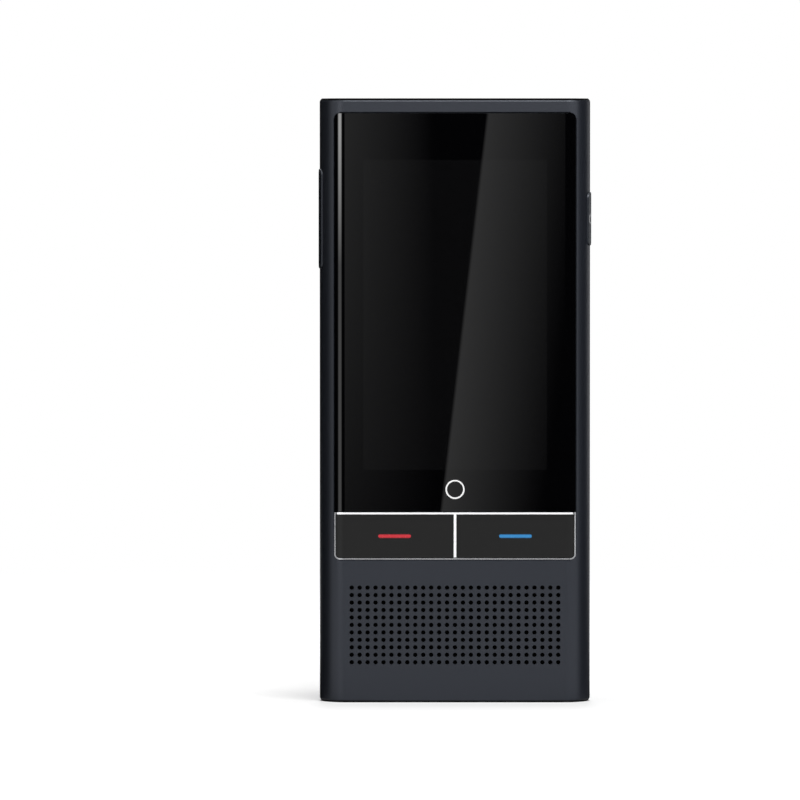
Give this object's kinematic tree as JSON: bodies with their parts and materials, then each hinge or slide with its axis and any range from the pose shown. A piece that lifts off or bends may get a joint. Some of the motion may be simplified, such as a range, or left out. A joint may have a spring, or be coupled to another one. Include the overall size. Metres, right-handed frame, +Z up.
{
  "type": "handheld translator",
  "caption": "Slim upright handheld translator with rounded flanks, a tall glass front, two wide speech keys in a bright trim and a drilled loudspeaker grille",
  "frame": {"origin": "middle of the lower end, on the surface that the device stands on", "axes": "+Z up along the body, the screen faces -Y, +X to the right of someone who looks at the screen"},
  "size_m": [0.058, 0.0138, 0.1284],
  "materials": {
    "housing_lacquer": "satin, fine metallic lacquer on moulded plastic",
    "cap_black": "glossy black moulding",
    "cover_glass": "polished, black print behind",
    "trim_chrome": "bright plated",
    "key_black": "fine matte",
    "light_red": "translucent, glossy",
    "light_blue": "translucent, glossy",
    "button_lacquer": "satin lacquer",
    "display": "polished, dark",
    "clear_bond": "clear",
    "foam": "open-cell foam",
    "ribbon_amber": "polyimide film",
    "frame_alloy": "bead blasted",
    "screw_steel": "turned",
    "board_green": "solder mask",
    "switch_steel": "stamped dome",
    "led_cream": "moulded",
    "chip_black": "moulded epoxy",
    "shield_tin": "tinned sheet",
    "connector_cream": "moulded",
    "battery_foil": "laminated foil pouch",
    "tape_white": "double-sided tape",
    "mesh_black": "woven acoustic mesh",
    "speaker_black": "moulded",
    "cone_grey": "formed film",
    "port_steel": "drawn and plated",
    "tongue_black": "moulded",
    "mic_gilt": "plated lid",
    "carrier_black": "moulded",
    "foil_brass": "etched foil"
  },
  "bodies": {
    "root": {"front_housing": "housing_lacquer", "rear_cover": "housing_lacquer", "top_cap": "cap_black", "bottom_cap": "cap_black", "cover_glass": "cover_glass", "glass_adhesive": "foam", "key_trim": "trim_chrome", "display_panel": "display", "display_bond": "clear_bond", "display_cushion": "foam", "display_ribbon": "ribbon_amber", "inner_frame": "frame_alloy", "frame_screws": "screw_steel", "key_board": "board_green", "key_switches": "switch_steel", "key_leds": "led_cream", "key_ribbon": "ribbon_amber", "power_switch": "switch_steel", "power_ribbon": "ribbon_amber", "volume_switches": "switch_steel", "volume_ribbon": "ribbon_amber", "main_board": "board_green", "main_board_screws": "screw_steel", "board_chips": "chip_black", "processor_shield": "shield_tin", "radio_shield": "shield_tin", "board_connectors": "connector_cream", "battery": "battery_foil", "battery_tape": "tape_white", "battery_cushions": "foam", "battery_lead": "ribbon_amber", "main_ribbon": "ribbon_amber", "speaker_mesh": "mesh_black", "speaker_gasket": "foam", "speaker_box": "speaker_black", "speaker_driver": "cone_grey", "port_board": "board_green", "port_board_screws": "screw_steel", "port_shell": "port_steel", "port_tongue": "tongue_black", "lower_mic": "mic_gilt", "lower_mic_boot": "foam", "upper_mic": "mic_gilt", "upper_mic_boot": "foam", "antenna_carrier": "carrier_black", "antenna_foil": "foil_brass"},
    "left_key": {"left_key": "key_black", "left_key_light": "light_red"},
    "right_key": {"right_key": "key_black", "right_key_light": "light_blue"},
    "power_button": {"power_button": "button_lacquer"},
    "volume_rocker": {"volume_rocker": "button_lacquer"}
  },
  "joints": [
    {"name": "left_key_press", "type": "slide", "parent": "root", "child": "left_key", "axis": [0, 1, 0], "range_m": [0, 0.0003], "stiffness_N_per_m": 300, "springref_m": -0.001},
    {"name": "right_key_press", "type": "slide", "parent": "root", "child": "right_key", "axis": [0, 1, 0], "range_m": [0, 0.0003], "stiffness_N_per_m": 300, "springref_m": -0.001},
    {"name": "power_press", "type": "slide", "parent": "root", "child": "power_button", "axis": [-1, 0, 0], "range_m": [0, 0.0003], "stiffness_N_per_m": 300, "springref_m": -0.001},
    {"name": "volume_rock", "type": "hinge", "parent": "root", "child": "volume_rocker", "pos_m": [-0.02695, -0.0018, 0.10285], "axis": [0, 1, 0], "range_deg": [-1.2, 1.2], "stiffness_Nm_per_rad": 0.03}
  ]
}
